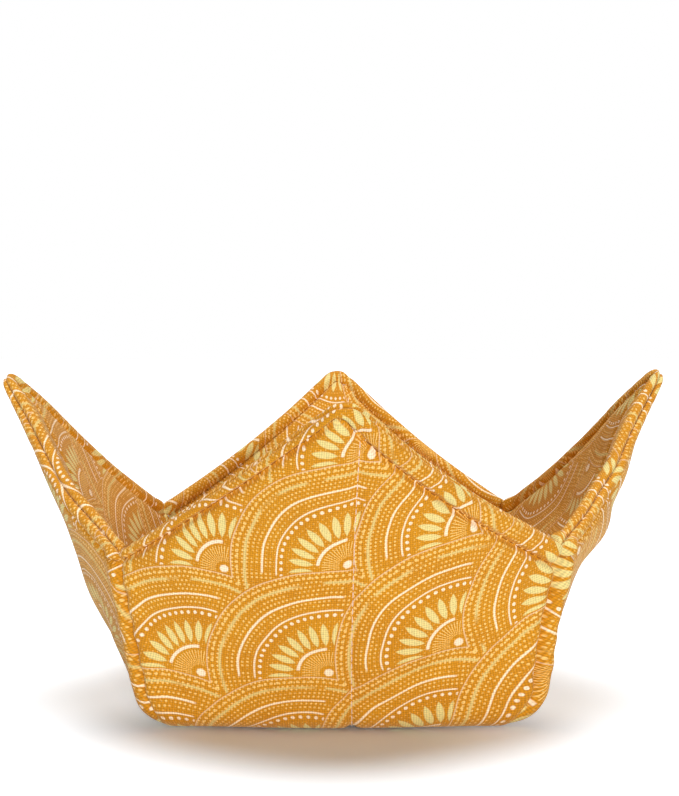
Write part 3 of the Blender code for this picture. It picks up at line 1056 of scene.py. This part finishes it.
cover_quilting = quilting("cover_quilting_thread", cover_height, 1)
lining_quilting = quilting("lining_quilting_thread", lining_height, -1)


# Topstitch
# Brown thread, one line round the whole rim. It holds the turned edge flat, and its stitches
# lie deep in the groove that they pull, on the cover and on the lining.

TOPSTITCH_PITCH = 0.0029
TOPSTITCH_LENGTH = 0.0023
TOPSTITCH_RADIUS = 0.00019
TOPSTITCH_LIFT = 0.00010
TOPSTITCH_BOW = 0.00014
TOPSTITCH_END = 0.985

brown_thread = twisted_thread(
    "brown_topstitch_thread", (0.24, 0.075, 0.006, 1), (0.46, 0.17, 0.018, 1)
)


def topstitch(name, height, side):
    slope = np.linspace(TURN_AT_POINT, TOPSTITCH_END, 260)
    share = np.concatenate([-slope[::-1], np.linspace(-0.95, 0.95, 30) * TURN_AT_POINT, slope])
    paths = []
    for wall in range(4):
        number = np.full(share.shape, wall)
        inset = topstitch_inset(number, share)
        out = out_at_inset(share, inset)
        skin = height(number, share, out, inset)
        points = laid(number, share, out, inset, skin + TOPSTITCH_LIFT, side)
        paths.append((points, unit(points - laid(number, share, out, inset, skin, side))))
    sizes = (TOPSTITCH_RADIUS, TOPSTITCH_PITCH, TOPSTITCH_LENGTH, TOPSTITCH_BOW)
    thread = stitches(name, paths, *sizes)
    thread.data.materials.append(brown_thread)
    return thread


cover_topstitch = topstitch("cover_topstitch_thread", cover_height, 1)
lining_topstitch = topstitch("lining_topstitch_thread", lining_height, -1)


# Floor and backdrop
# A white sweep. It is white to the camera, and keeps the soft shadow under the cozy only in an oval in
# front of the base: outside the oval a painted glow lifts the shadow away.
FLOOR_SIZE = 12.0
FLOOR_DROP = 0.0001
bpy.ops.mesh.primitive_plane_add(size=FLOOR_SIZE, location=(0, 0, -FLOOR_DROP))
floor = bpy.context.object
floor.name = "floor"
white_floor, tree, shader = new_material("white_floor")
shader.inputs["Base Color"].default_value = (0.84, 0.90, 0.97, 1)
shader.inputs["Roughness"].default_value = 0.95
shader.inputs["Specular IOR Level"].default_value = 0.0
shader.inputs["Emission Color"].default_value = (1, 1, 1, 1)


def seen_directly(tree):
    """1 for camera, glossy and transmission rays, so that only the background turns white."""
    path = tree.nodes.new("ShaderNodeLightPath")
    rays = (path.outputs[ray] for ray in ("Is Camera Ray", "Is Glossy Ray", "Is Transmission Ray"))
    return either(tree, *rays)


# The floor glows white to the camera away from the front of the base: painted light that lifts the floor's
# shadow everywhere outside an oval, so that the shadow shows only in the oval
PAINTED_FLOOR_GLOW = 0.50
SHADOW_MIDDLE = (-0.004, -0.066)
SHADOW_REACH = (0.085, 0.062)
SHADOW_EDGE = 0.72
SHADOW_SOFTNESS = 0.42
spot = tree.nodes.new("ShaderNodeNewGeometry")
parts = tree.nodes.new("ShaderNodeSeparateXYZ")
tree.links.new(spot.outputs["Position"], parts.inputs[0])
squares = []
for axis, middle, reach in zip("XY", SHADOW_MIDDLE, SHADOW_REACH):
    off = calc(tree, "DIVIDE", calc(tree, "SUBTRACT", parts.outputs[axis], middle), reach)
    squares.append(calc(tree, "POWER", calc(tree, "ABSOLUTE", off), 2.0))
away = calc(tree, "SQRT", calc(tree, "ADD", *squares))
outside = calc(tree, "SUBTRACT", 1.0, soft_edge(tree, away, SHADOW_EDGE, SHADOW_SOFTNESS))
# Painted light: a camera-only glow outside the oval, which hides the shadow there
painted_glow = calc(tree, "MULTIPLY", outside, PAINTED_FLOOR_GLOW)
tree.links.new(calc(tree, "MULTIPLY", seen_directly(tree), painted_glow), shader.inputs["Emission Strength"])
floor.data.materials.append(white_floor)


# Light
# A pale room all round, a broad soft light overhead that makes the shadow under the cozy, and a
# soft light from the front, low enough to reach the walls that lean out.
ROOM_LIGHT = 0.22
world = bpy.data.worlds.new("pale_room")
bpy.context.scene.world = world
world.use_nodes = True
room = world.node_tree
surround = room.nodes["Background"]
surround.inputs["Color"].default_value = (1, 1, 1, 1)
brightness = calc(room, "MULTIPLY_ADD", seen_directly(room), 1 - ROOM_LIGHT, ROOM_LIGHT)
room.links.new(brightness, surround.inputs["Strength"])


def soft_sun(name, direction, strength, spread):
    """A distant lamp of a given spread in degrees, shining from a direction."""
    light = bpy.data.lights.new(name, "SUN")
    light.energy = strength * math.pi
    light.angle = math.radians(spread)
    lamp = bpy.data.objects.new(name, light)
    lamp.rotation_euler = Vector(direction).to_track_quat("Z", "Y").to_euler()
    bpy.context.scene.collection.objects.link(lamp)


soft_sun("overhead_light", direction=(0.0, 0.12, 1.0), strength=0.70, spread=36.0)
soft_sun("front_light", direction=(0.16, -1.0, 0.12), strength=0.73, spread=13.0)


# Camera
# A long lens held level straight in front, a little above the points and shifted down to the cozy.
# Its focal length, the height of the picture and the place of the horizon are in pixels.
FOCAL_PIXELS = 1672.0
PHOTO_HEIGHT = 796.0
HORIZON_ABOVE_MIDDLE = 68.0
SENSOR = 36.0
CAMERA_PLACE = (0.0018, -0.550, 0.118)
lens = bpy.data.cameras.new("camera")
lens.sensor_width = SENSOR
lens.lens = SENSOR * FOCAL_PIXELS / PHOTO_HEIGHT
lens.shift_y = -HORIZON_ABOVE_MIDDLE / PHOTO_HEIGHT
camera = bpy.data.objects.new("camera", lens)
camera.location = CAMERA_PLACE
camera.rotation_euler = (math.radians(90), 0, 0)
bpy.context.scene.collection.objects.link(camera)
bpy.context.scene.camera = camera
bpy.context.scene.view_settings.view_transform = "Standard"
